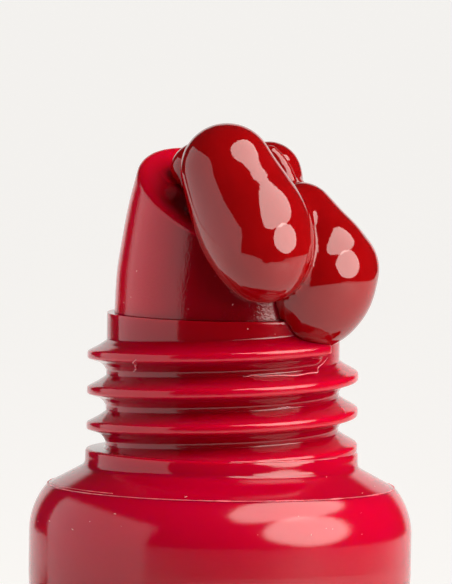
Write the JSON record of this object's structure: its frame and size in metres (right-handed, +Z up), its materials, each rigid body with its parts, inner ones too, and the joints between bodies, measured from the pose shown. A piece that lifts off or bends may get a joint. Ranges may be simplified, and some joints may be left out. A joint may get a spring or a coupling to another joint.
{
  "type": "paint tube",
  "caption": "Upright squeeze tube with crimped tail, threaded neck, slant-cut applicator tip, folded bead of red paint and its screw cap standing beside it.",
  "frame": {"origin": "middle of the crimped tail's lower edge, on the tube's axis", "axes": "+Z up the tube's axis to the applicator tip; the tail is widest along X; the slanted face of the tip looks up and toward -Y; the loose cap stands at +X"},
  "size_m": [0.0552, 0.019, 0.0726],
  "materials": {
    "sleeve_plastic": "translucent extruded polyethylene, glossy",
    "head_plastic": "translucent moulded polyethylene, glossy",
    "tip_plastic": "translucent moulded polyethylene, satin",
    "paint": "wet glossy paint",
    "cap_plastic": "ribbed moulded polypropylene",
    "cap_liner_plastic": "natural moulded polypropylene",
    "seal_plastic": "expanded polyethylene foam"
  },
  "bodies": {
    "tube": {"sleeve": "sleeve_plastic", "head": "head_plastic", "applicator_tip": "tip_plastic", "paint_fill": "paint", "paint_core": "paint", "paint_bead": "paint"},
    "cap": {"cap_shell": "cap_plastic", "cap_liner": "cap_liner_plastic", "cap_seal": "seal_plastic"}
  },
  "joints": [
    {"name": "cap_lift", "type": "slide", "parent": "tube", "child": "cap", "axis": [0, 0, 1], "range_m": [0, 0.095]}
  ]
}
